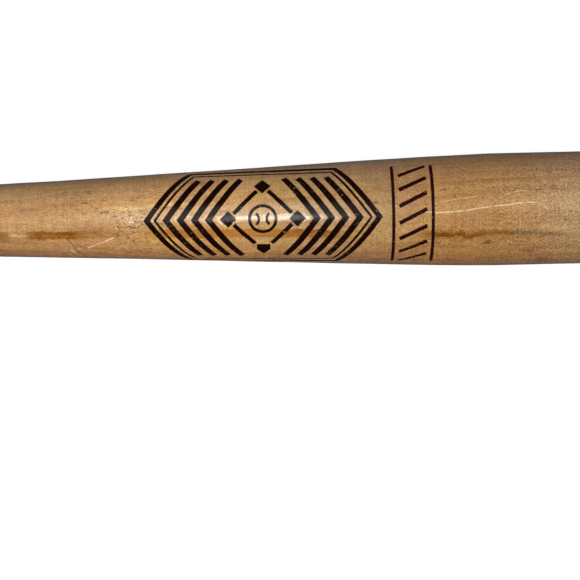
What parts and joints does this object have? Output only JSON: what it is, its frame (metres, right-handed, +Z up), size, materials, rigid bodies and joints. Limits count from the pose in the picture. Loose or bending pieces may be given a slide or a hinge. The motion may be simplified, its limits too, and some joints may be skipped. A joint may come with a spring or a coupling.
{
  "type": "wooden baseball bat",
  "caption": "Turned wooden baseball bat: round knob, slim handle, long swell to a round-ended barrel, and black and maroon foil marks pressed into the upper face.",
  "frame": {"origin": "centre of the knob's flat end face, on the bat's axis", "axes": "+X runs along the bat's axis from the knob to the barrel's end; +Z is up through the middle of the foil marks, with the bat lying on its side; +Y is across the bat"},
  "size_m": [0.762, 0.0508, 0.0508],
  "materials": {
    "wood": "clear lacquer over straight-grained pale ash, worn to a satin gloss",
    "black_foil": "hot-pressed pigment foil, near black, satin",
    "maroon_foil": "hot-pressed pigment foil, dark maroon, satin"
  },
  "bodies": {
    "root": {"ball_ring": "black_foil", "ball_seam_left": "black_foil", "ball_seam_right": "black_foil", "band_bar_1": "maroon_foil", "band_bar_2": "maroon_foil", "band_bar_3": "maroon_foil", "band_bar_4": "maroon_foil", "band_bar_5": "maroon_foil", "band_bar_6": "maroon_foil", "band_bar_7": "maroon_foil", "band_line_far": "maroon_foil", "band_line_near": "maroon_foil", "base_first": "black_foil", "base_home": "black_foil", "base_line_first_second": "black_foil", "base_line_home_first": "black_foil", "base_line_second_third": "black_foil", "base_line_third_home": "black_foil", "base_second": "black_foil", "base_third": "black_foil", "billet": "wood", "frame_inner": "black_foil", "frame_outer": "black_foil", "stitch_left_1": "black_foil", "stitch_left_2": "black_foil", "stitch_left_3": "black_foil", "stitch_left_4": "black_foil", "stitch_right_1": "black_foil", "stitch_right_2": "black_foil", "stitch_right_3": "black_foil", "stitch_right_4": "black_foil"}
  },
  "joints": []
}
